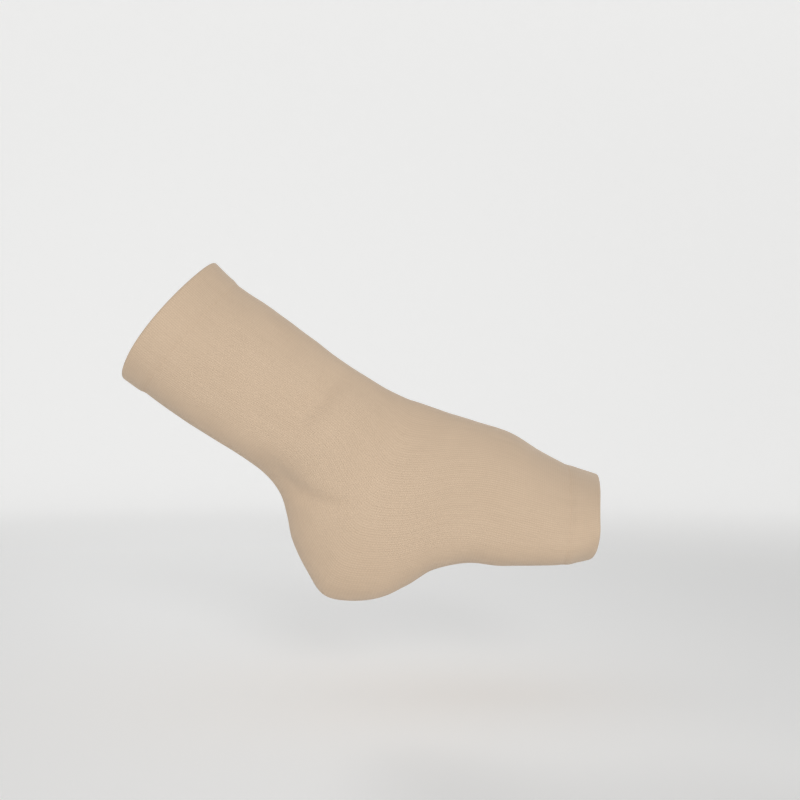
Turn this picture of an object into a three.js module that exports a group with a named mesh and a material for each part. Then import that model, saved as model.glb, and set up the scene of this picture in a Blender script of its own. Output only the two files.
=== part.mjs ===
// A knitted heel and elbow protector, in the form that it takes when it is pulled over a right foot:
// a sleeve round the heel and ankle, open at the leg and at the toes, with a turned hem at each opening.
// Millimetres. +X points towards the toes, +Z up and -Y to the outer side of the foot.
// The origin is the middle of the ankle, where the sleeve is worn.

import * as THREE from "three";

// Thicknesses of the cloth
const WALL = 2.4; // one layer of the knit
const HEM_WALL = 3.6; // two layers, where an edge is turned in and sewn down
const HEM_PROUD = 0.7; // a hem stands this far out of the sleeve beside it
const SEAM_GAP = 0.3; // the slit between the sleeve and a hem

// Fineness of the mesh
const POINTS_ROUND = 48; // round a ring
const RINGS_PER_SECTION = 2; // along the sleeve, from one section to the next
const EDGE_STEPS = 4; // round the folded edge of a hem
const FOLD_SAMPLES = 16; // along the line of a fold

// Sections across the sleeve, from the leg opening to the toe opening. Each one is a closed oval in a plane
// that holds the Y direction:
//   frontX, frontZ   its point over the shin or the instep
//   backX, backZ     its point over the tendon, the heel or the sole
//   outer, inner     half widths, on the outer and the inner side of the foot
//   outerDrop, innerDrop   how far the widest point lies from the middle, towards the back point
//   lean             how far the front point is shifted to the inner side
//   frontRound, backRound  fullness of the two halves: 2 is an ellipse, and more is squarer
const COLUMNS = [
  "frontX", "frontZ", "backX", "backZ", "outer", "inner",
  "outerDrop", "innerDrop", "lean", "frontRound", "backRound",
];
const ROWS = [
  [-74.4, 114.4, -130.0, 45.3, 42.0, 42.0, 5, 0, 0, 1.9, 2.1], // edge of the leg opening
  [-59.1, 100.4, -114.8, 34.7, 40.0, 40.0, 5, 0, 0, 1.9, 2.3], // seam of the leg hem
  [-36.0, 84.5, -94.6, 20.3, 38.2, 38.2, 5, 0, 0, 1.9, 2.35],
  [-15.3, 69.3, -72.6, 6.0, 36.2, 36.2, 5, 0, 0, 1.9, 2.35], // thin of the leg
  [3.1, 55.3, -54.3, -5.4, 35.0, 35.0, 4, -1, 0, 1.95, 2.3],
  [16.5, 46.5, -41.6, -15.4, 34.8, 34.8, 2, -2, 0, 2.0, 2.15],
  [26.2, 40.5, -33.2, -26.8, 34.6, 34.6, 0, -3, 0, 2.0, 2.0], // bend at the tendon
  [33.6, 36.4, -29.2, -39.7, 34.4, 34.4, -2, -3, 1, 2.0, 2.0],
  [39.7, 33.2, -25.9, -54.9, 34.2, 34.2, -3, -2, 1, 2.0, 2.0],
  [45.1, 30.7, -18.3, -71.4, 34.2, 34.2, -3, 0, 2, 2.0, 2.05],
  [50.6, 28.8, -7.9, -87.5, 34.4, 34.4, -2, 2, 2, 2.0, 2.1], // round of the heel
  [56.7, 26.7, 7.3, -91.4, 34.8, 34.6, 0, 2, 3, 2.05, 2.15],
  [64.1, 24.4, 27.5, -89.7, 35.4, 35.0, 1, 2, 4, 2.1, 2.15],
  [72.6, 21.8, 42.6, -82.7, 36.6, 35.8, 2, 2, 5, 2.2, 2.25],
  [84.8, 18.1, 58.8, -73.0, 38.6, 37.2, 4, 2, 6, 2.25, 2.45],
  [98.2, 13.8, 79.9, -68.0, 41.0, 39.6, 6, 3, 7, 2.25, 2.8], // top of the instep
  [110.4, 9.0, 100.7, -69.4, 43.2, 42.4, 7, 4, 8, 2.25, 3.0],
  [125.1, -0.3, 119.2, -69.2, 44.8, 45.0, 7, 4, 9, 2.2, 2.9], // ball of the foot
  [142.3, -9.2, 136.6, -68.7, 45.0, 46.2, 6, 4, 10, 2.1, 2.6], // seam of the toe hem
  [161.2, -16.0, 161.0, -64.2, 43.0, 45.0, 2, 2, 11, 2.0, 1.85], // edge of the toe opening
];
const SECTIONS = ROWS.map((row) => Object.fromEntries(COLUMNS.map((name, i) => [name, row[i]])));

// How far the edges of the openings stand beyond the form: at the front, at the sides and at the back
const LEG_EDGE_SHAPE = { front: -0.5, sides: 1.2, back: -1.5 };
const TOE_EDGE_SHAPE = { front: 0.4, sides: -4.0, back: -6.5 };

// Places along the sleeve, counted in sections
const LEG_EDGE = 0;
const LEG_SEAM = 1;
const TOE_SEAM = SECTIONS.length - 2;
const TOE_EDGE = SECTIONS.length - 1;

// The ankle bones push the knit out: side is -1 on the outer side of the foot and 1 on the inner side
const BUMPS = [
  { side: -1, x: 1, z: -1, height: 3.8, radius: 20 }, // outer ankle bone
  { side: 1, x: 9, z: 7, height: 3.8, radius: 20 }, // inner ankle bone
];

// Folds where the knit gathers round the ankle, as lines of the side view:
//   start, bend, end   each valley runs from start to end, bent towards bend
//   depth, peak        it is deepest at its peak, which is a share of the way along
//   wide, narrow       its half width at its start and at its end
const FOLDS = [
  {
    // under the outer bone
    side: -1, start: [-40, -6], bend: [-21, -34], end: [17, -31],
    depth: 3.6, peak: 0.28, wide: 8.5, narrow: 3.4,
  },
  {
    // above the outer bone
    side: -1, start: [3, 47], bend: [-9, 27.5], end: [-33, 5],
    depth: 3.2, peak: 0.36, wide: 8.5, narrow: 8.5,
  },
  {
    // before the outer bone
    side: -1, start: [36, 7], bend: [33, -12], end: [21, -31],
    depth: 1.0, peak: 0.5, wide: 8.0, narrow: 8.0,
  },
  {
    // beside the shin
    side: -1, start: [0, 47], bend: [18, 38], end: [37, 23],
    depth: 1.0, peak: 0.5, wide: 7.0, narrow: 7.0,
  },
  {
    // under the inner bone
    side: 1, start: [-34, -10], bend: [-16, -28], end: [20, -27],
    depth: 2.2, peak: 0.35, wide: 6.5, narrow: 3.6,
  },
  {
    // above the inner bone
    side: 1, start: [14, 42], bend: [-2, 32], end: [-20, 12],
    depth: 1.8, peak: 0.4, wide: 4.5, narrow: 6.5,
  },
];

// How far from the middle plane a bump or a fold fades out, so that the two sides of the foot stay apart
const SIDE_FADE = 12;

const KNIT_COLOUR = 0xd2b89e;
const HEM_COLOUR = 0xcdb399;
const KNIT_ROUGHNESS = 0.95;

// The value at place t of a column of the table, on a smooth curve through its rows
function column(name, t) {
  const i = Math.min(Math.floor(t), SECTIONS.length - 2);
  const at = (k) => SECTIONS[THREE.MathUtils.clamp(k, 0, SECTIONS.length - 1)][name];
  const u = t - i;
  const rise = (at(i + 1) - at(i - 1)) / 2;
  const nextRise = (at(i + 2) - at(i)) / 2;
  const step = at(i + 1) - at(i);
  return at(i) + u * (rise + u * (3 * step - 2 * rise - nextRise + u * (rise + nextRise - 2 * step)));
}

function signedPower(value, exponent) {
  return Math.sign(value) * Math.abs(value) ** exponent;
}

// A point of the smooth form: angle 0 is the front point, a quarter turn on is the outer side
function formPoint(t, angle) {
  const front = new THREE.Vector3(column("frontX", t), 0, column("frontZ", t));
  const back = new THREE.Vector3(column("backX", t), 0, column("backZ", t));
  const half = front.distanceTo(back) / 2;
  const up = front.clone().sub(back).normalize();
  const fullness = 2 / column(Math.cos(angle) > 0 ? "frontRound" : "backRound", t);
  const height = signedPower(Math.cos(angle), fullness);
  const width = signedPower(Math.sin(angle), fullness);
  const side = width > 0 ? "outer" : "inner";
  const lowered = height * half - column(side + "Drop", t) * (1 - height * height);
  const point = front.add(back).multiplyScalar(0.5).addScaledVector(up, lowered);
  point.y = column("lean", t) * ((1 + height) / 2) ** 2 - width * column(side, t);
  return point;
}

// The point with the direction along the sleeve and the direction out of it
function formFrame(t, angle) {
  const small = 0.01;
  const start = THREE.MathUtils.clamp(t - small, LEG_EDGE, TOE_EDGE);
  const end = THREE.MathUtils.clamp(t + small, LEG_EDGE, TOE_EDGE);
  const along = formPoint(end, angle).sub(formPoint(start, angle)).normalize();
  const round = formPoint(t, angle + small).sub(formPoint(t, angle - small));
  const out = round.cross(along).normalize();
  return { point: formPoint(t, angle), along, out };
}

// The lines of the folds, with their depth fading from the peak towards both ends
const FOLD_LINES = FOLDS.map(({ side, start, bend, end, depth, peak, wide, narrow }) => {
  const curve = new THREE.QuadraticBezierCurve(
    new THREE.Vector2(...start),
    new THREE.Vector2(...bend),
    new THREE.Vector2(...end),
  );
  const skew = Math.log(0.5) / Math.log(peak); // makes share ** skew one half at the peak
  const samples = curve.getPoints(FOLD_SAMPLES).map((place, i) => {
    const share = (i + 1) / (FOLD_SAMPLES + 2);
    return {
      place,
      depth: depth * Math.sin(Math.PI * share ** skew),
      width: THREE.MathUtils.lerp(wide, narrow, i / FOLD_SAMPLES),
    };
  });
  return { side, samples };
});

// How far the bumps and folds move the knit out at a point of the form
function relief(point) {
  const place = new THREE.Vector2(point.x, point.z);
  const share = (side) => THREE.MathUtils.smoothstep(side * point.y, 0, SIDE_FADE);
  let height = 0;
  for (const bump of BUMPS) {
    const distance = place.distanceTo(new THREE.Vector2(bump.x, bump.z)) / bump.radius;
    height += share(bump.side) * bump.height * Math.exp(-distance * distance);
  }
  for (const fold of FOLD_LINES) {
    const depths = fold.samples.map((sample) => {
      const distance = place.distanceTo(sample.place) / sample.width;
      return sample.depth * Math.exp(-distance * distance);
    });
    height -= share(fold.side) * Math.max(...depths);
  }
  return height;
}

// A closed wall round the foot. The profile is the wall's own outline, a closed loop of points, each at a
// place t along the sleeve, moved out of the form by so many millimetres and then along it by its shift at
// each angle.
function wallMesh(name, profile, colour) {
  const positions = [];
  for (const { t, out, shift } of profile) {
    for (let j = 0; j < POINTS_ROUND; j += 1) {
      const angle = (2 * Math.PI * j) / POINTS_ROUND;
      const frame = formFrame(t, angle);
      const point = frame.point.clone();
      point.addScaledVector(frame.out, out + relief(frame.point));
      point.addScaledVector(frame.along, shift(angle));
      positions.push(...point);
    }
  }
  const index = [];
  for (let i = 0; i < profile.length; i += 1) {
    const next = (i + 1) % profile.length;
    for (let j = 0; j < POINTS_ROUND; j += 1) {
      const beside = (j + 1) % POINTS_ROUND;
      const a = i * POINTS_ROUND + j;
      const b = next * POINTS_ROUND + j;
      const c = next * POINTS_ROUND + beside;
      const d = i * POINTS_ROUND + beside;
      index.push(a, c, b, a, d, c);
    }
  }
  const geometry = new THREE.BufferGeometry();
  geometry.setAttribute("position", new THREE.Float32BufferAttribute(positions, 3));
  geometry.setIndex(index);
  geometry.computeVertexNormals();
  const material = new THREE.MeshStandardMaterial({ color: colour, roughness: KNIT_ROUGHNESS, metalness: 0 });
  const mesh = new THREE.Mesh(geometry, material);
  mesh.name = name;
  return mesh;
}

// Places from one section to another, evenly spaced, with both ends
function placesBetween(start, end, stepsPerSection) {
  const steps = Math.round(Math.abs(end - start) * stepsPerSection);
  return Array.from({ length: steps + 1 }, (_, i) => start + ((end - start) * i) / steps);
}

// The one-layer tube between the two seams
function makeSleeve() {
  const places = placesBetween(LEG_SEAM, TOE_SEAM, RINGS_PER_SECTION);
  const seamShifts = new Map([[LEG_SEAM, SEAM_GAP / 2], [TOE_SEAM, -SEAM_GAP / 2]]);
  const shiftAt = (t) => () => seamShifts.get(t) ?? 0;
  const outside = places.map((t) => ({ t, out: 0, shift: shiftAt(t) }));
  const inside = places.map((t) => ({ t, out: -WALL, shift: shiftAt(t) })).reverse();
  return wallMesh("sleeve", [...outside, ...inside], KNIT_COLOUR);
}

// How far an edge stands beyond the form at an angle
function beyondForm({ front, sides, back }, angle) {
  const facing = Math.cos(angle);
  return (facing > 0 ? front : back) * facing ** 2 + sides * Math.sin(angle) ** 2;
}

// A turned hem from its seam to its folded edge, which is a half round of the hem's thickness. The shape of
// the edge grows from nothing at the seam.
function makeHem(name, seam, edge, edgeShape) {
  const direction = Math.sign(edge - seam);
  const radius = HEM_WALL / 2;
  const middle = HEM_PROUD - radius;
  const places = placesBetween(seam, edge, RINGS_PER_SECTION).slice(0, -1);
  const seamShift = (t) => (t === seam ? SEAM_GAP / 2 : 0);
  const shiftAt = (t, shift) => (angle) => {
    const grown = THREE.MathUtils.smoothstep((t - seam) / (edge - seam), 0, 1);
    return direction * (shift + grown * beyondForm(edgeShape, angle));
  };
  const outside = places.map((t) => ({ t, out: HEM_PROUD, shift: shiftAt(t, seamShift(t)) }));
  const inside = outside.map((point) => ({ ...point, out: HEM_PROUD - HEM_WALL })).reverse();
  const fold = Array.from({ length: EDGE_STEPS + 1 }, (_, i) => {
    const turn = (Math.PI * i) / EDGE_STEPS;
    const shift = shiftAt(edge, radius * (Math.sin(turn) - 1));
    return { t: edge, out: middle + radius * Math.cos(turn), shift };
  });
  const profile = [...outside, ...fold, ...inside];
  return wallMesh(name, direction > 0 ? profile : profile.reverse(), HEM_COLOUR);
}

const protector = new THREE.Group();
protector.add(makeSleeve());
protector.add(makeHem("leg_hem", LEG_SEAM, LEG_EDGE, LEG_EDGE_SHAPE));
protector.add(makeHem("toe_hem", TOE_SEAM, TOE_EDGE, TOE_EDGE_SHAPE));

export default protector;
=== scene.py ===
import math

import bpy
import numpy as np
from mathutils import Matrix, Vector


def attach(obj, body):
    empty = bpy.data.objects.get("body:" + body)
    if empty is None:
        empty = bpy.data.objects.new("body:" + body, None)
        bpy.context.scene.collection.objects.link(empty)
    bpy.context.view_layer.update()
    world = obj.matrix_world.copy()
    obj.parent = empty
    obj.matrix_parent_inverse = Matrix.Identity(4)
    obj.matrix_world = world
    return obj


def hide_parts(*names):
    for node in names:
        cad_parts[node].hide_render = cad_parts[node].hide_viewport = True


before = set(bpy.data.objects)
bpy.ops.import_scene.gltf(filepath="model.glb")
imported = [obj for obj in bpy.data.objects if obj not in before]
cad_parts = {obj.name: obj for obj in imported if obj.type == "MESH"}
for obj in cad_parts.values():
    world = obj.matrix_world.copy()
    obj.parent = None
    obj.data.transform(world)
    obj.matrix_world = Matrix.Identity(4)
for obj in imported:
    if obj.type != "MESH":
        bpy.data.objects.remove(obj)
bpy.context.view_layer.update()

# A knitted heel and elbow protector in the form that it takes on a right foot: a sleeve round the heel and
# the ankle, open at the leg and at the toes, with a turned hem at each opening.
# The shape is worked out in millimetres and turned into metres when a mesh is made.
MM = 0.001

# The cloth
WALL = 2.4  # one layer of the knit
HEM_WALL = 3.6  # two layers, where an edge is turned in and sewn down
HEM_PROUD = 0.7  # a hem stands this far out of the sleeve beside it
HEM_RISE = 6.0  # the length over which the sleeve thickens into the hem
RISE_BEFORE = 0.25  # the share of that length that lies before the seam
SEAM_GAP = 0.004  # the slit between the sleeve and a hem, at the bottom of the groove
GROOVE_DEPTH = 0.16  # the stitches of a hem pull the knit in this far
GROOVE_WIDTH = 2.2
TURN_IN = 0.25  # the inside of a hem reaches its thickness over this share of a section
WALES = 204  # columns of stitches round the tube
COURSE = 1.4  # mean height of a row of stitches

# Fineness of the meshes
SLEEVE_ROUND = 280  # points round a ring of the sleeve
HEM_ROUND = 450  # points round a ring of a hem
OUTER_RINGS = 260
INNER_RINGS = 70
HEM_RINGS = 30
EDGE_STEPS = 12
FOLD_SAMPLES = 40
FINE_STEPS = 1901  # places along the sleeve where its length is measured
FINE_LINES = 24  # lines along the sleeve that the length is the mean of
FINE_ANGLES = np.linspace(0, 2 * math.pi, 1441)  # places round a ring where its length is measured
TIGHT = 0.03  # width of the strips beside a cut end, which keep the shading of the cut off the face

# Sections across the sleeve, from the leg opening to the toe opening: the point over the shin or instep
# (front), the point over the tendon, heel or sole (back), the half widths on the outer and inner side of the
# foot, how far the widest point on each side drops towards the back point, how far the front point leans to
# the inner side, and the fullness of the two halves (2 is an ellipse, and more is squarer).
COLUMNS = ("front_x", "front_z", "back_x", "back_z", "outer", "inner",
           "outer_drop", "inner_drop", "lean", "front_round", "back_round")
ROWS = (
    (-74.4, 114.4, -130.0, 45.3, 42.0, 42.0, 5, 0, 0, 1.9, 2.1),  # edge of the leg opening
    (-59.1, 100.4, -114.8, 34.7, 40.0, 40.0, 5, 0, 0, 1.9, 2.3),  # seam of the leg hem
    (-36.0, 84.5, -94.6, 20.3, 38.2, 38.2, 5, 0, 0, 1.9, 2.35),
    (-15.3, 69.3, -72.6, 6.0, 36.2, 36.2, 5, 0, 0, 1.9, 2.35),  # thin of the leg
    (3.1, 55.3, -54.3, -5.4, 35.0, 35.0, 4, -1, 0, 1.95, 2.3),
    (16.5, 46.5, -41.6, -15.4, 34.8, 34.8, 2, -2, 0, 2.0, 2.15),
    (26.2, 40.5, -33.2, -26.8, 34.6, 34.6, 0, -3, 0, 2.0, 2.0),  # bend at the tendon
    (33.6, 36.4, -29.2, -39.7, 34.4, 34.4, -2, -3, 1, 2.0, 2.0),
    (39.7, 33.2, -25.9, -54.9, 34.2, 34.2, -3, -2, 1, 2.0, 2.0),
    (45.1, 30.7, -18.3, -71.4, 34.2, 34.2, -3, 0, 2, 2.0, 2.05),
    (50.6, 28.8, -7.9, -87.5, 34.4, 34.4, -2, 2, 2, 2.0, 2.1),  # round of the heel
    (56.7, 26.7, 7.3, -91.4, 34.8, 34.6, 0, 2, 3, 2.05, 2.15),
    (64.1, 24.4, 27.5, -89.7, 35.4, 35.0, 1, 2, 4, 2.1, 2.15),
    (72.6, 21.8, 42.6, -82.7, 36.6, 35.8, 2, 2, 5, 2.2, 2.25),
    (84.8, 18.1, 58.8, -73.0, 38.6, 37.2, 4, 2, 6, 2.25, 2.45),
    (98.2, 13.8, 79.9, -68.0, 41.0, 39.6, 6, 3, 7, 2.25, 2.8),  # top of the instep
    (110.4, 9.0, 100.7, -69.4, 43.2, 42.4, 7, 4, 8, 2.25, 3.0),
    (125.1, -0.3, 119.2, -69.2, 44.8, 45.0, 7, 4, 9, 2.2, 2.9),  # ball of the foot
    (142.3, -9.2, 136.6, -68.7, 45.0, 46.2, 6, 4, 10, 2.1, 2.6),  # seam of the toe hem
    (161.2, -16.0, 161.0, -64.2, 43.0, 45.0, 2, 2, 11, 2.0, 1.85),  # edge of the toe opening
)
SECTIONS = {name: np.array([row[i] for row in ROWS], float) for i, name in enumerate(COLUMNS)}

# How far the edges of the openings stand beyond the form: at the front, at the sides and at the back
LEG_EDGE_SHAPE = (-0.5, 1.2, -1.5)
TOE_EDGE_SHAPE = (0.4, -4.0, -6.5)

# Places along the sleeve, counted in sections
LEG_EDGE, LEG_SEAM = 0, 1
TOE_SEAM, TOE_EDGE = len(ROWS) - 2, len(ROWS) - 1

# The ankle bones push the knit out: side is -1 on the outer side of the foot and 1 on the inner side
BUMPS = (
    {"side": -1, "x": 1, "z": -1, "height": 3.8, "radius": 20},
    {"side": 1, "x": 9, "z": 7, "height": 3.8, "radius": 20},
)

# Folds where the knit gathers round the ankle, as lines of the side view from start to end, bent towards
# bend. A valley is depth deep at its peak, which is a share of the way along. Its half width goes from wide
# to narrow, and a low ridge stands along its upper side.
FOLDS = (
    {"side": -1, "start": (-40, -6), "bend": (-21, -34), "end": (17, -31),
     "depth": 3.6, "wide": 8.5, "narrow": 3.4, "ridge": 0.7, "peak": 0.28},
    {"side": -1, "start": (3, 47), "bend": (-9, 27.5), "end": (-33, 5),
     "depth": 3.2, "wide": 8.5, "narrow": 8.5, "ridge": 0.7, "peak": 0.36},
    {"side": -1, "start": (36, 7), "bend": (33, -12), "end": (21, -31),
     "depth": 1.0, "wide": 8.0, "narrow": 8.0, "ridge": 0.0, "peak": 0.5},
    {"side": -1, "start": (0, 47), "bend": (18, 38), "end": (37, 23),
     "depth": 1.0, "wide": 7.0, "narrow": 7.0, "ridge": 0.0, "peak": 0.5},
    {"side": 1, "start": (-34, -10), "bend": (-16, -28), "end": (20, -27),
     "depth": 2.2, "wide": 6.5, "narrow": 3.6, "ridge": 0.5, "peak": 0.35},
    {"side": 1, "start": (14, 42), "bend": (-2, 32), "end": (-20, 12),
     "depth": 1.8, "wide": 4.5, "narrow": 6.5, "ridge": 0.5, "peak": 0.4},
)
SIDE_FADE = 12  # a bump or fold fades out this near to the middle plane

# Where a ridge stands beside its valley, in half widths of the valley
RIDGE_PLACE = 1.9
RIDGE_START = 1.0  # it fades out nearer to the line than this
RIDGE_WIDTH = 0.9

# Slight unevenness of the worn knit: waves of many directions
UNEVEN_WAVES = 20
UNEVEN_LENGTHS = (14.0, 46.0)
UNEVEN_HEIGHT = 0.035
UNEVEN_SEED = 7

# The photograph's frame: the plane of the foot at its middle, seen square on
PHOTO_PIXELS = 800
MM_PER_PIXEL = 0.61
ANKLE_PIXEL = (335, 450)  # where the origin shows
CAMERA_DISTANCE = 1000.0
SENSOR = 36.0

# The stage, in metres: a round floor that bends up into a low wall
FLOOR_Z = -0.150
FLOOR_MIDDLE = 0.8  # radius of the floor's one middle face
FLOOR_RADIUS = 1.8
FLOOR_BEND = 1.3
STAGE_HEIGHT = 1.4
STAGE_SEGMENTS = 96
BEND_STEPS = 24
FLOOR_COLOUR = (0.90, 0.90, 0.895, 1.0)
FLOOR_ROUGHNESS = 0.9

# Soft studio light, in watts and metres: the world all round, a light in front and one behind, and a backdrop
# that is lit a little from within, more far off than near the object
WORLD_COLOUR = (1.0, 1.0, 1.0, 1.0)
WORLD_LIGHT = 0.54
FRONT_LIGHT = (0.35, -2.2, 0.55)
FRONT_POWER = 0.85
BACK_LIGHT = (-0.45, 2.2, 0.60)
BACK_POWER = 0.70
LIGHT_SIZE = 0.6
LIGHT_SPREAD = math.radians(36)
GLOW_COLOUR = (1.0, 1.0, 0.995, 1.0)
NEAR_GLOW = 0.02
FAR_GLOW = 0.24
GLOW_START = 0.3  # the glow grows from this distance
GLOW_FULL = 2.2  # to this one


# The smooth form

def column(name, t):
    """The value of a table column at place t, on a smooth curve through its rows."""
    values = SECTIONS[name]
    last = len(values) - 1
    i = np.clip(np.floor(t).astype(int), 0, last - 1)
    u = t - i
    here, ahead = values[i], values[i + 1]
    rise = (ahead - values[np.clip(i - 1, 0, last)]) / 2
    next_rise = (values[np.clip(i + 2, 0, last)] - here) / 2
    step = ahead - here
    return here + u * (rise + u * (3 * step - 2 * rise - next_rise + u * (rise + next_rise - 2 * step)))


def unit(vectors):
    return vectors / np.linalg.norm(vectors, axis=-1, keepdims=True)


def smoothstep(value):
    value = np.clip(value, 0, 1)
    return value * value * (3 - 2 * value)


def form(t, angle):
    """Points of the form: angle 0 is the front point, and a quarter turn on is the outer side."""
    t, angle = np.broadcast_arrays(np.asarray(t, float), np.asarray(angle, float))
    flat = np.zeros(t.shape)
    front = np.stack([column("front_x", t), flat, column("front_z", t)], axis=-1)
    back = np.stack([column("back_x", t), flat, column("back_z", t)], axis=-1)
    half = np.linalg.norm(front - back, axis=-1) / 2
    cos, sin = np.cos(angle), np.sin(angle)
    fullness = 2 / np.where(cos > 0, column("front_round", t), column("back_round", t))
    height = np.sign(cos) * np.abs(cos) ** fullness
    width = np.sign(sin) * np.abs(sin) ** fullness
    drop = np.where(width > 0, column("outer_drop", t), column("inner_drop", t))
    reach = np.where(width > 0, column("outer", t), column("inner", t))
    lowered = height * half - drop * (1 - height**2)
    points = (front + back) / 2 + unit(front - back) * lowered[..., None]
    points[..., 1] = column("lean", t) * ((1 + height) / 2) ** 2 - width * reach
    return points


def form_frame(t, angle):
    """Points of the form, with the directions along the sleeve and out of it."""
    small = 0.01
    before = np.clip(t - small, LEG_EDGE, TOE_EDGE)
    after = np.clip(t + small, LEG_EDGE, TOE_EDGE)
    along = unit(form(after, angle) - form(before, angle))
    around = form(t, angle + small) - form(t, angle - small)
    return form(t, angle), along, unit(np.cross(around, along))


def even_angles(t, count):
    """Angles that divide the ring at each place into equal lengths, from the front point."""
    rings = form(t[:, None], FINE_ANGLES[None, :])
    steps = np.linalg.norm(np.diff(rings, axis=1), axis=2)
    lengths = np.concatenate([np.zeros((len(t), 1)), np.cumsum(steps, axis=1)], axis=1)
    share = np.arange(count) / count
    return np.array([np.interp(share * row[-1], row, FINE_ANGLES) for row in lengths])


# Mean length along the sleeve, from the leg opening
FINE_PLACES = np.linspace(LEG_EDGE, TOE_EDGE, FINE_STEPS)
LINES = form(FINE_PLACES[:, None], np.linspace(0, 2 * math.pi, FINE_LINES, endpoint=False)[None, :])
LINE_STEPS = np.linalg.norm(np.diff(LINES, axis=0), axis=2)
FINE_LENGTHS = np.concatenate([[0], np.cumsum(LINE_STEPS.mean(axis=1))])


def length_at(t):
    return np.interp(t, FINE_PLACES, FINE_LENGTHS)


def place_at(length):
    return np.interp(length, FINE_LENGTHS, FINE_PLACES)


# Bumps, folds and the give of the knit

def fold_height(fold, x, z):
    """Height of one fold over points of the side view, fading towards both ends of its line."""
    u = np.linspace(0, 1, FOLD_SAMPLES)[:, None]
    start, bend, end = (np.array(fold[key], float) for key in ("start", "bend", "end"))
    line = (1 - u) ** 2 * start + 2 * u * (1 - u) * bend + u**2 * end
    way = unit((1 - u) * (bend - start) + u * (end - bend))
    share = (np.arange(FOLD_SAMPLES) + 1) / (FOLD_SAMPLES + 1)
    fade = np.sin(math.pi * share ** (math.log(0.5) / math.log(fold["peak"])))
    width = fold["wide"] + (fold["narrow"] - fold["wide"]) * u[:, 0]
    from_x, from_z = x[..., None] - line[:, 0], z[..., None] - line[:, 1]
    above = (way[:, 0] * from_z - way[:, 1] * from_x) / width
    distance = np.hypot(from_x, from_z) / width
    valley = (fade * np.exp(-(distance**2))).max(axis=-1)
    beside = np.hypot(distance - RIDGE_PLACE, np.minimum(above - RIDGE_START, 0))
    ridge = (fade * np.exp(-((beside / RIDGE_WIDTH) ** 2))).max(axis=-1)
    return fold["ridge"] * ridge - fold["depth"] * valley


def relief(points):
    """How far the bumps, the folds and the unevenness move the knit out."""
    x, y, z = points[..., 0], points[..., 1], points[..., 2]
    height = np.zeros(x.shape)
    for bump in BUMPS:
        distance = np.hypot(x - bump["x"], z - bump["z"]) / bump["radius"]
        height += smoothstep(bump["side"] * y / SIDE_FADE) * bump["height"] * np.exp(-(distance**2))
    for fold in FOLDS:
        height += smoothstep(fold["side"] * y / SIDE_FADE) * fold_height(fold, x, z)
    random = np.random.default_rng(UNEVEN_SEED)
    for _ in range(UNEVEN_WAVES):
        direction = unit(random.normal(size=3))
        length = random.uniform(*UNEVEN_LENGTHS)
        phase = random.uniform(0, 2 * math.pi)
        height += UNEVEN_HEIGHT * np.sin(points @ direction * (2 * math.pi / length) + phase)
    return height


def skin(t):
    """How far the outer face stands out of the form: it steps up into the hems beside a sewn groove."""
    length = length_at(t)
    into_hem = np.maximum(length_at(LEG_SEAM) - length, length - length_at(TOE_SEAM))
    step = HEM_PROUD * smoothstep(into_hem / HEM_RISE + RISE_BEFORE)
    return step - GROOVE_DEPTH * np.exp(-((into_hem / GROOVE_WIDTH) ** 2))


# Walls of cloth

# Material slots of a wall
OUTSIDE = 0
INSIDE = 1

# Strips of the bake map, from bottom to top, for the rows of a wall
SLEEVE_OUTER_STRIP = (0.005, 0.865)
SLEEVE_INNER_STRIP = (0.875, 0.985)
HEM_OUTER_STRIP = (0.005, 0.44)
HEM_EDGE_STRIP = (0.45, 0.54)
HEM_INNER_STRIP = (0.55, 0.985)
HEM_BAKE_PARTS = 3
BAKE_TOP = 0.995  # where the last row ends
BAKE_MARGIN = 0.004  # kept free at both sides


class Profile:
    """The outline of a wall along the sleeve: a closed loop of rows, each one a ring of the mesh."""

    def __init__(self):
        self.rows = []

    def add(self, places, out, shift, run, bake, face, cap_after=False):
        """Adds rows at places, moved out and along, with their running length, on a strip of the bake map."""
        places, out, shift, run = np.broadcast_arrays(places, out, shift, run)
        strip = bake[0] + (bake[1] - bake[0]) * (run - run[0]) / (run[-1] - run[0])
        cap = [False] * (len(places) - 1) + [cap_after]
        self.rows.extend(zip(places, out, shift, run, strip, [face] * len(places), cap))

    def columns(self):
        """Place, out, shift, run, bake, face and cap as arrays."""
        return [np.array(values) for values in zip(*self.rows)]


def link_object(name, mesh):
    thing = bpy.data.objects.new(name, mesh)
    bpy.context.scene.collection.objects.link(thing)
    return thing


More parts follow.
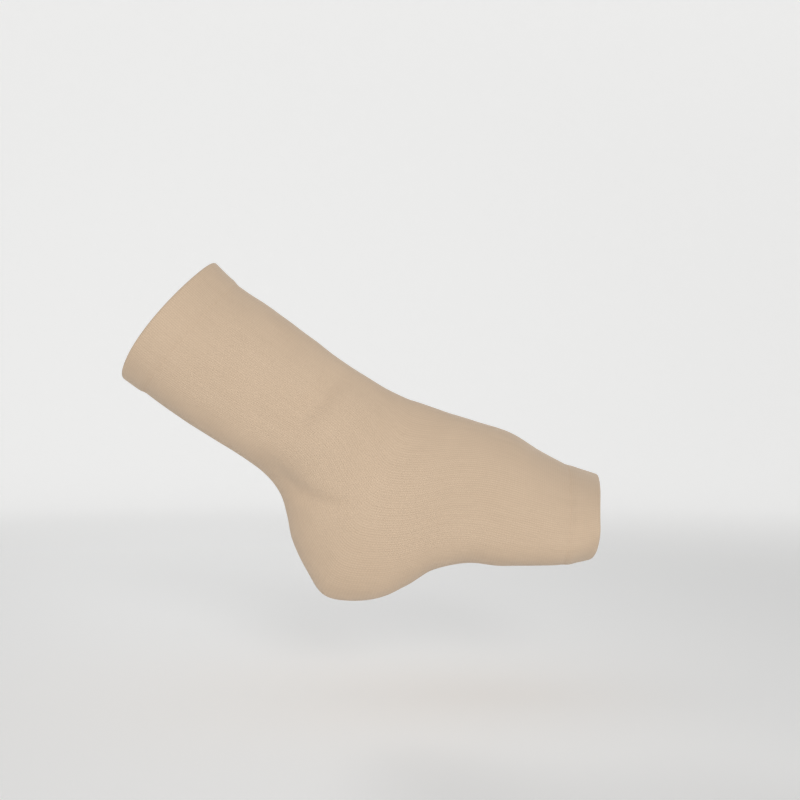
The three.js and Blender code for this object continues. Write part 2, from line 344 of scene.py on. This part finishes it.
def wall_object(name, profile, count, bake_parts=1, edge_wave=None):
    """A closed mesh swept round the foot from a profile, with a map for the stitches and one for baking.
    The baking map is cut into bake_parts strips, one above the other."""
    t, lift, shift, run, bake, face, cap = profile.columns()
    rows = len(t)
    angles = even_angles(t, count)
    base, along, out = form_frame(np.repeat(t[:, None], count, axis=1), angles)
    lift = lift[:, None] + relief(base)
    shift = np.repeat(shift[:, None], count, axis=1)
    if edge_wave is not None:
        shift = shift + edge_wave(t[:, None], angles)
    points = (base + out * lift[..., None] + along * shift[..., None]) * MM

    i, j = np.meshgrid(np.arange(rows), np.arange(count), indexing="ij")
    next_i, next_j = (i + 1) % rows, (j + 1) % count
    here, ahead = i * count, next_i * count
    faces = np.stack([here + j, here + next_j, ahead + next_j, ahead + j], axis=-1)
    mesh = bpy.data.meshes.new(name)
    mesh.from_pydata(points.reshape(-1, 3), [], faces.reshape(-1, 4).tolist())
    mesh.polygons.foreach_set("material_index", np.repeat(face, count).astype(np.int32))
    mesh.polygons.foreach_set("use_smooth", np.repeat(~cap, count))

    around = np.stack([j, j + 1, j + 1, j], axis=-1) / count
    part = (j * bake_parts // count)[..., None]
    bake_u = BAKE_MARGIN + (1 - 2 * BAKE_MARGIN) * (around * bake_parts - part)
    bake_end = np.append(bake[1:], BAKE_TOP)
    bake_v = (np.stack([bake[i], bake[i], bake_end[i], bake_end[i]], axis=-1) + part) / bake_parts
    run_v = np.stack([run[i], run[i], run[next_i], run[next_i]], axis=-1) / COURSE
    for map_name, u, v in (("OFBake", bake_u, bake_v), ("stitches", around * WALES, run_v)):
        layer = mesh.uv_layers.new(name=map_name)
        layer.data.foreach_set("uv", np.stack([u, v], axis=-1).astype(np.float32).ravel())
    mesh.update()
    return link_object(name, mesh)


def run_between(start, end, count, tight_end=True):
    """Even steps of length from a cut start to an end, with a tight strip at the cuts."""
    tight = math.copysign(TIGHT, end - start)
    if tight_end:
        return np.concatenate([[start], np.linspace(start + tight, end - tight, count - 2), [end]])
    return np.concatenate([[start], np.linspace(start + tight, end, count - 1)])


def make_sleeve():
    """The one-layer tube between the two seams."""
    start, end = length_at(LEG_SEAM) + SEAM_GAP, length_at(TOE_SEAM) - SEAM_GAP
    outer_run = run_between(start, end, OUTER_RINGS)
    inner_run = run_between(end, start, INNER_RINGS)
    outer, inner = place_at(outer_run), place_at(inner_run)
    profile = Profile()
    profile.add(outer, skin(outer), 0, outer_run, SLEEVE_OUTER_STRIP, OUTSIDE, cap_after=True)
    profile.add(inner, -WALL, 0, inner_run, SLEEVE_INNER_STRIP, INSIDE, cap_after=True)
    return wall_object("knit_sleeve", profile, SLEEVE_ROUND)


def make_hem(name, seam, edge, edge_shape):
    """A turned hem from its seam to its folded edge, a half round of its thickness.
    The edge shape says how far the edge stands beyond the form at the front, the sides and the back."""
    way = 1 if edge > seam else -1
    radius = HEM_WALL / 2
    seam_run = length_at(seam) + way * SEAM_GAP
    edge_run = length_at(edge) - way * radius
    outer_run = run_between(seam_run, edge_run, HEM_RINGS, tight_end=False)
    outer = place_at(outer_run)
    turn = np.linspace(0, math.pi, EDGE_STEPS + 1)[1:-1]
    back_run = edge_run + way * math.pi * radius
    turned_in = smoothstep(np.abs(outer - seam) / TURN_IN)
    inside = -WALL + (HEM_PROUD - HEM_WALL + WALL) * turned_in

    def edge_wave(t, angle):
        """How far each point moves along, growing from the seam to the edge."""
        front, sides, back = edge_shape
        cos = np.cos(angle)
        beyond = front * np.maximum(cos, 0) ** 2
        beyond = beyond + sides * np.sin(angle) ** 2
        beyond = beyond + back * np.maximum(-cos, 0) ** 2
        return way * smoothstep((t - seam) / (edge - seam)) * beyond

    profile = Profile()
    profile.add(outer, skin(outer), 0, outer_run, HEM_OUTER_STRIP, OUTSIDE)
    profile.add(np.full(len(turn), float(edge)), HEM_PROUD - radius + radius * np.cos(turn),
                way * radius * (np.sin(turn) - 1), edge_run + way * radius * turn, HEM_EDGE_STRIP, OUTSIDE)
    profile.add(outer[::-1], inside[::-1], 0, back_run + edge_run - outer_run[::-1], HEM_INNER_STRIP, INSIDE,
                cap_after=True)
    hem = wall_object(name, profile, HEM_ROUND, bake_parts=HEM_BAKE_PARTS, edge_wave=edge_wave)
    if way < 0:
        hem.data.flip_normals()
    return hem


# The row of stitches that holds a hem down
STITCH_PITCH = 2.4
STITCH_LENGTH = 1.6
STITCH_BOW = 0.09  # how far the middle of a stitch stands above its ends
STITCH_SLANT = 0.18  # how far each end lies beside the seam
STITCH_SINK = 0.07  # how deep the ends lie in the knit
THREAD_RADIUS = 0.12
THREAD_SIDES = 8
THREAD_RINGS = 7


def make_stitches(name, seam):
    """The stitches that hold a hem down: short bowed threads in the groove of the seam."""
    sides, rings = THREAD_SIDES, THREAD_RINGS
    ring, along, out = form_frame(np.full(FINE_ANGLES.shape, float(seam)), FINE_ANGLES)
    ring = ring + out * (relief(ring) + skin(seam) - STITCH_SINK)[:, None]
    travel = np.concatenate([[0], np.cumsum(np.linalg.norm(np.diff(ring, axis=0), axis=1))])
    count = int(travel[-1] / STITCH_PITCH)
    arch = np.sin(np.linspace(0, math.pi, rings))[:, None]
    across = np.linspace(-1, 1, rings)[:, None]
    turn = np.linspace(0, 2 * math.pi, sides, endpoint=False)[None, :, None]
    reach = np.linspace(-0.5, 0.5, rings) * STITCH_LENGTH / STITCH_PITCH
    tubes = []
    for k in range(count):
        where = (k + 0.5 + reach) / count * travel[-1]
        line, up, side = (np.stack([np.interp(where, travel, values[:, axis]) for axis in range(3)], axis=-1)
                          for values in (ring, out, along))
        up, side = unit(up), unit(side)
        line = line + up * STITCH_BOW * arch + side * STITCH_SLANT * across
        spoke = np.cos(turn) * up[:, None] + np.sin(turn) * side[:, None]
        tubes.append(line[:, None] + THREAD_RADIUS * spoke)
    r, s = np.meshgrid(np.arange(rings - 1), np.arange(sides), indexing="ij")
    next_s = (s + 1) % sides
    here, ahead = r * sides, (r + 1) * sides
    walls = np.stack([here + s, ahead + s, ahead + next_s, here + next_s], axis=-1)
    one_tube = walls.reshape(-1, 4).tolist()
    one_tube.append(list(range(sides)))
    one_tube.append([(rings - 1) * sides + s for s in reversed(range(sides))])
    faces = [[corner + k * rings * sides for corner in face] for k in range(count) for face in one_tube]
    mesh = bpy.data.meshes.new(name)
    mesh.from_pydata(np.array(tubes).reshape(-1, 3) * MM, [], faces)
    mesh.polygons.foreach_set("use_smooth", np.ones(len(faces), bool))
    mesh.update()
    return link_object(name, mesh)


# Materials

class Nodes:
    """Short calls to build a material's nodes."""

    def __init__(self, name):
        self.material = bpy.data.materials.new(name)
        self.material.use_nodes = True
        self.tree = self.material.node_tree
        self.shader = self.tree.nodes["Principled BSDF"]

    def new(self, kind, **settings):
        node = self.tree.nodes.new(kind)
        for key, value in settings.items():
            setattr(node, key, value)
        return node

    def put(self, value, socket):
        """Links an output to an input, or sets the input to a constant."""
        if isinstance(value, bpy.types.NodeSocket):
            self.tree.links.new(value, socket)
        else:
            socket.default_value = value

    def math(self, operation, *values):
        node = self.new("ShaderNodeMath", operation=operation)
        for value, socket in zip(values, node.inputs):
            self.put(value, socket)
        return node.outputs[0]

    def noise(self, vector, scale, detail=2.0):
        node = self.new("ShaderNodeTexNoise")
        self.put(vector, node.inputs["Vector"])
        self.put(scale, node.inputs["Scale"])
        self.put(detail, node.inputs["Detail"])
        return node.outputs["Fac"]

    def mix(self, factor, a, b):
        node = self.new("ShaderNodeMix", data_type="RGBA")
        self.put(factor, node.inputs[0])
        self.put(a, node.inputs[6])
        self.put(b, node.inputs[7])
        return node.outputs[2]


# The knit: a light and a dark tone of its yarn, how much painted shade darkens the valleys between the
# columns towards the dark tone, and its bump's height
OUTER_KNIT = {"light": (0.652, 0.499, 0.360, 1.0), "dark": (0.501, 0.373, 0.260, 1.0), "valley_shade_share": 0.50,
              "bump_mm": 0.13}
INNER_KNIT = {"light": (0.614, 0.465, 0.335, 1.0), "dark": (0.455, 0.332, 0.231, 1.0), "valley_shade_share": 0.60,
              "bump_mm": 0.16}
LOOP_DEPTH = 0.28  # how far a column sinks between two stitches, as a share of its height
FIBRE_HEIGHT = 0.35  # height of the fibres, as a share of the bump's
BLOTCH_SHARE = 0.30  # how far blotches and streaks mix the two colours
STREAK_SHARE = 0.36
BLOTCH_SCALE = 26.0
BLOTCH_DETAIL = 3.0
FIBRE_SCALE = 2600.0
STREAK_SCALE = 0.9
STREAK_STRETCH = (1.0, 0.04, 1.0)  # streaks are long along a column
KNIT_ROUGHNESS = 0.87
ROUGHNESS_RANGE = 0.1
KNIT_SPECULAR = 0.2
SHEEN_WEIGHT = 0.25
SHEEN_ROUGHNESS = 0.45
SHEEN_TINT = (0.92, 0.90, 0.86, 1.0)

# The thread: the knit's beige, painted lighter to offset the shade that falls on the stitches in the groove
THREAD_LIGHT = (0.720, 0.550, 0.400, 1.0)
THREAD_DARK = (0.620, 0.465, 0.334, 1.0)
TWIST_SCALE = 1800.0
TWIST_STRENGTH = 0.6
TWIST_HEIGHT = 0.1
THREAD_ROUGHNESS = 0.75
THREAD_SPECULAR = 0.25


def knit_material(name, light, dark, valley_shade_share, bump_mm):
    """A fine knit: a ridge for each column of stitches, small V stitches along it, uneven yarn, and painted
    shade in the valleys between the columns.
    """
    nodes = Nodes(name)
    stitch_map = nodes.new("ShaderNodeUVMap", uv_map="stitches").outputs["UV"]
    parts = nodes.new("ShaderNodeSeparateXYZ")
    nodes.put(stitch_map, parts.inputs[0])
    wale, course = parts.outputs["X"], parts.outputs["Y"]
    across = nodes.math("ABSOLUTE", nodes.math("SUBTRACT", nodes.math("FRACT", wale), 0.5))
    ridge = nodes.math("SUBTRACT", 1.0, nodes.math("MULTIPLY", nodes.math("MULTIPLY", across, across), 4.0))
    lean = nodes.math("ADD", course, across)
    wave = nodes.math("COSINE", nodes.math("MULTIPLY", lean, 2 * math.pi))
    loops = nodes.math("MULTIPLY_ADD", wave, LOOP_DEPTH, 1 - LOOP_DEPTH)
    height = nodes.math("MULTIPLY", ridge, loops)

    place = nodes.new("ShaderNodeTexCoord").outputs["Object"]
    blotches = nodes.noise(place, BLOTCH_SCALE, BLOTCH_DETAIL)
    streak_place = nodes.new("ShaderNodeVectorMath", operation="MULTIPLY")
    nodes.put(stitch_map, streak_place.inputs[0])
    nodes.put(STREAK_STRETCH, streak_place.inputs[1])
    streaks = nodes.noise(streak_place.outputs[0], STREAK_SCALE)
    fibres = nodes.noise(place, FIBRE_SCALE)

    # Painted shade: the colour turns towards the dark tone in the valleys between the columns and stitches,
    # and blotches and streaks of uneven yarn are added to it
    valley = nodes.math("MULTIPLY", nodes.math("SUBTRACT", 1.0, height), valley_shade_share)
    uneven = nodes.math("ADD", nodes.math("MULTIPLY_ADD", blotches, BLOTCH_SHARE, -BLOTCH_SHARE / 2),
                        nodes.math("MULTIPLY_ADD", streaks, STREAK_SHARE, -STREAK_SHARE / 2))
    shade = nodes.math("ADD", valley, uneven)
    nodes.put(nodes.mix(shade, light, dark), nodes.shader.inputs["Base Color"])

    bump = nodes.new("ShaderNodeBump")
    nodes.put(1.0, bump.inputs["Strength"])
    nodes.put(bump_mm * MM, bump.inputs["Distance"])
    nodes.put(nodes.math("MULTIPLY_ADD", fibres, FIBRE_HEIGHT, height), bump.inputs["Height"])
    nodes.put(bump.outputs["Normal"], nodes.shader.inputs["Normal"])
    roughness = nodes.math("MULTIPLY_ADD", blotches, ROUGHNESS_RANGE, KNIT_ROUGHNESS)
    nodes.put(roughness, nodes.shader.inputs["Roughness"])
    nodes.shader.inputs["Specular IOR Level"].default_value = KNIT_SPECULAR
    nodes.shader.inputs["Sheen Weight"].default_value = SHEEN_WEIGHT
    nodes.shader.inputs["Sheen Roughness"].default_value = SHEEN_ROUGHNESS
    nodes.shader.inputs["Sheen Tint"].default_value = SHEEN_TINT
    return nodes.material


def thread_material(name):
    """Sewing thread with a fine twist."""
    nodes = Nodes(name)
    place = nodes.new("ShaderNodeTexCoord").outputs["Object"]
    twist = nodes.noise(place, TWIST_SCALE)
    nodes.put(nodes.mix(twist, THREAD_LIGHT, THREAD_DARK), nodes.shader.inputs["Base Color"])
    bump = nodes.new("ShaderNodeBump")
    nodes.put(TWIST_STRENGTH, bump.inputs["Strength"])
    nodes.put(TWIST_HEIGHT * MM, bump.inputs["Distance"])
    nodes.put(twist, bump.inputs["Height"])
    nodes.put(bump.outputs["Normal"], nodes.shader.inputs["Normal"])
    nodes.shader.inputs["Roughness"].default_value = THREAD_ROUGHNESS
    nodes.shader.inputs["Specular IOR Level"].default_value = THREAD_SPECULAR
    return nodes.material


# Stage, light and camera

def make_backdrop(material):
    """A pale floor that curves up all round into a low wall."""
    segments = STAGE_SEGMENTS
    turn = np.linspace(0, math.pi / 2, BEND_STEPS)
    wall_radius = FLOOR_RADIUS + FLOOR_BEND
    radius = np.concatenate([[FLOOR_MIDDLE], FLOOR_RADIUS + FLOOR_BEND * np.sin(turn), [wall_radius]])
    level = np.concatenate([[0], FLOOR_BEND * (1 - np.cos(turn)), [STAGE_HEIGHT]]) + FLOOR_Z
    spin = np.linspace(0, 2 * math.pi, segments, endpoint=False)
    points = np.stack([np.outer(radius, np.cos(spin)), np.outer(radius, np.sin(spin)),
                       np.repeat(level[:, None], segments, axis=1)], axis=-1)
    i, j = np.meshgrid(np.arange(len(radius) - 1), np.arange(segments), indexing="ij")
    next_j = (j + 1) % segments
    faces = np.stack([i * segments + j, (i + 1) * segments + j,
                      (i + 1) * segments + next_j, i * segments + next_j], axis=-1).reshape(-1, 4).tolist()
    faces.append(list(range(segments)))
    mesh = bpy.data.meshes.new("backdrop")
    mesh.from_pydata(points.reshape(-1, 3), [], faces)
    mesh.polygons.foreach_set("use_smooth", np.ones(len(faces), bool))
    mesh.materials.append(material)
    return link_object("backdrop", mesh)


def add_area_light(name, place, power):
    """A round soft light with a grid, which keeps its beam on the object."""
    data = bpy.data.lights.new(name, "AREA")
    data.shape = "DISK"
    data.size = LIGHT_SIZE
    data.spread = LIGHT_SPREAD
    data.energy = power
    light = bpy.data.objects.new(name, data)
    light.location = place
    light.rotation_mode = "QUATERNION"
    light.rotation_quaternion = (-Vector(place)).to_track_quat("-Z", "Y")
    light.visible_camera = False
    bpy.context.scene.collection.objects.link(light)


def add_camera():
    """A camera square to the plane of the foot, with the photograph's scale in that plane."""
    middle = PHOTO_PIXELS / 2
    data = bpy.data.cameras.new("camera")
    data.sensor_width = SENSOR
    data.lens = SENSOR * CAMERA_DISTANCE / (PHOTO_PIXELS * MM_PER_PIXEL)
    camera = bpy.data.objects.new("camera", data)
    camera.location = Vector(((middle - ANKLE_PIXEL[0]) * MM_PER_PIXEL, -CAMERA_DISTANCE,
                              (ANKLE_PIXEL[1] - middle) * MM_PER_PIXEL)) * MM
    camera.rotation_euler = (math.pi / 2, 0, 0)
    bpy.context.scene.collection.objects.link(camera)
    bpy.context.scene.camera = camera


add_camera()
scene = bpy.context.scene
scene.view_settings.view_transform = "Standard"
world = bpy.data.worlds.new("studio")
scene.world = world
world.use_nodes = True
world.node_tree.nodes["Background"].inputs["Color"].default_value = WORLD_COLOUR
world.node_tree.nodes["Background"].inputs["Strength"].default_value = WORLD_LIGHT

floor_nodes = Nodes("pale_floor")
floor_nodes.shader.inputs["Base Color"].default_value = FLOOR_COLOUR
floor_nodes.shader.inputs["Roughness"].default_value = FLOOR_ROUGHNESS
floor_nodes.shader.inputs["Emission Color"].default_value = GLOW_COLOUR
distance = floor_nodes.new("ShaderNodeVectorMath", operation="LENGTH")
floor_nodes.put(floor_nodes.new("ShaderNodeTexCoord").outputs["Object"], distance.inputs[0])
glow = floor_nodes.new("ShaderNodeMapRange", interpolation_type="SMOOTHSTEP")
floor_nodes.put(distance.outputs["Value"], glow.inputs["Value"])
glow.inputs["From Min"].default_value = GLOW_START
glow.inputs["From Max"].default_value = GLOW_FULL
glow.inputs["To Min"].default_value = NEAR_GLOW
glow.inputs["To Max"].default_value = FAR_GLOW
floor_nodes.put(glow.outputs["Result"], floor_nodes.shader.inputs["Emission Strength"])
make_backdrop(floor_nodes.material)
add_area_light("front_light", FRONT_LIGHT, FRONT_POWER)
add_area_light("back_light", BACK_LIGHT, BACK_POWER)

# The object
knit = knit_material("beige_knit", **OUTER_KNIT)
reverse = knit_material("knit_reverse", **INNER_KNIT)
thread = thread_material("hem_thread")

sleeve = make_sleeve()
leg_hem = make_hem("knit_leg_hem", LEG_SEAM, LEG_EDGE, LEG_EDGE_SHAPE)
toe_hem = make_hem("knit_toe_hem", TOE_SEAM, TOE_EDGE, TOE_EDGE_SHAPE)
leg_stitches = make_stitches("leg_hem_stitches", LEG_SEAM)
toe_stitches = make_stitches("toe_hem_stitches", TOE_SEAM)

for piece in (sleeve, leg_hem, toe_hem):
    piece.data.materials.append(knit)
    piece.data.materials.append(reverse)
for piece in (leg_stitches, toe_stitches):
    piece.data.materials.append(thread)
for piece in (sleeve, leg_hem, toe_hem, leg_stitches, toe_stitches):
    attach(piece, "root")

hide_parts("sleeve")
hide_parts("leg_hem")
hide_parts("toe_hem")
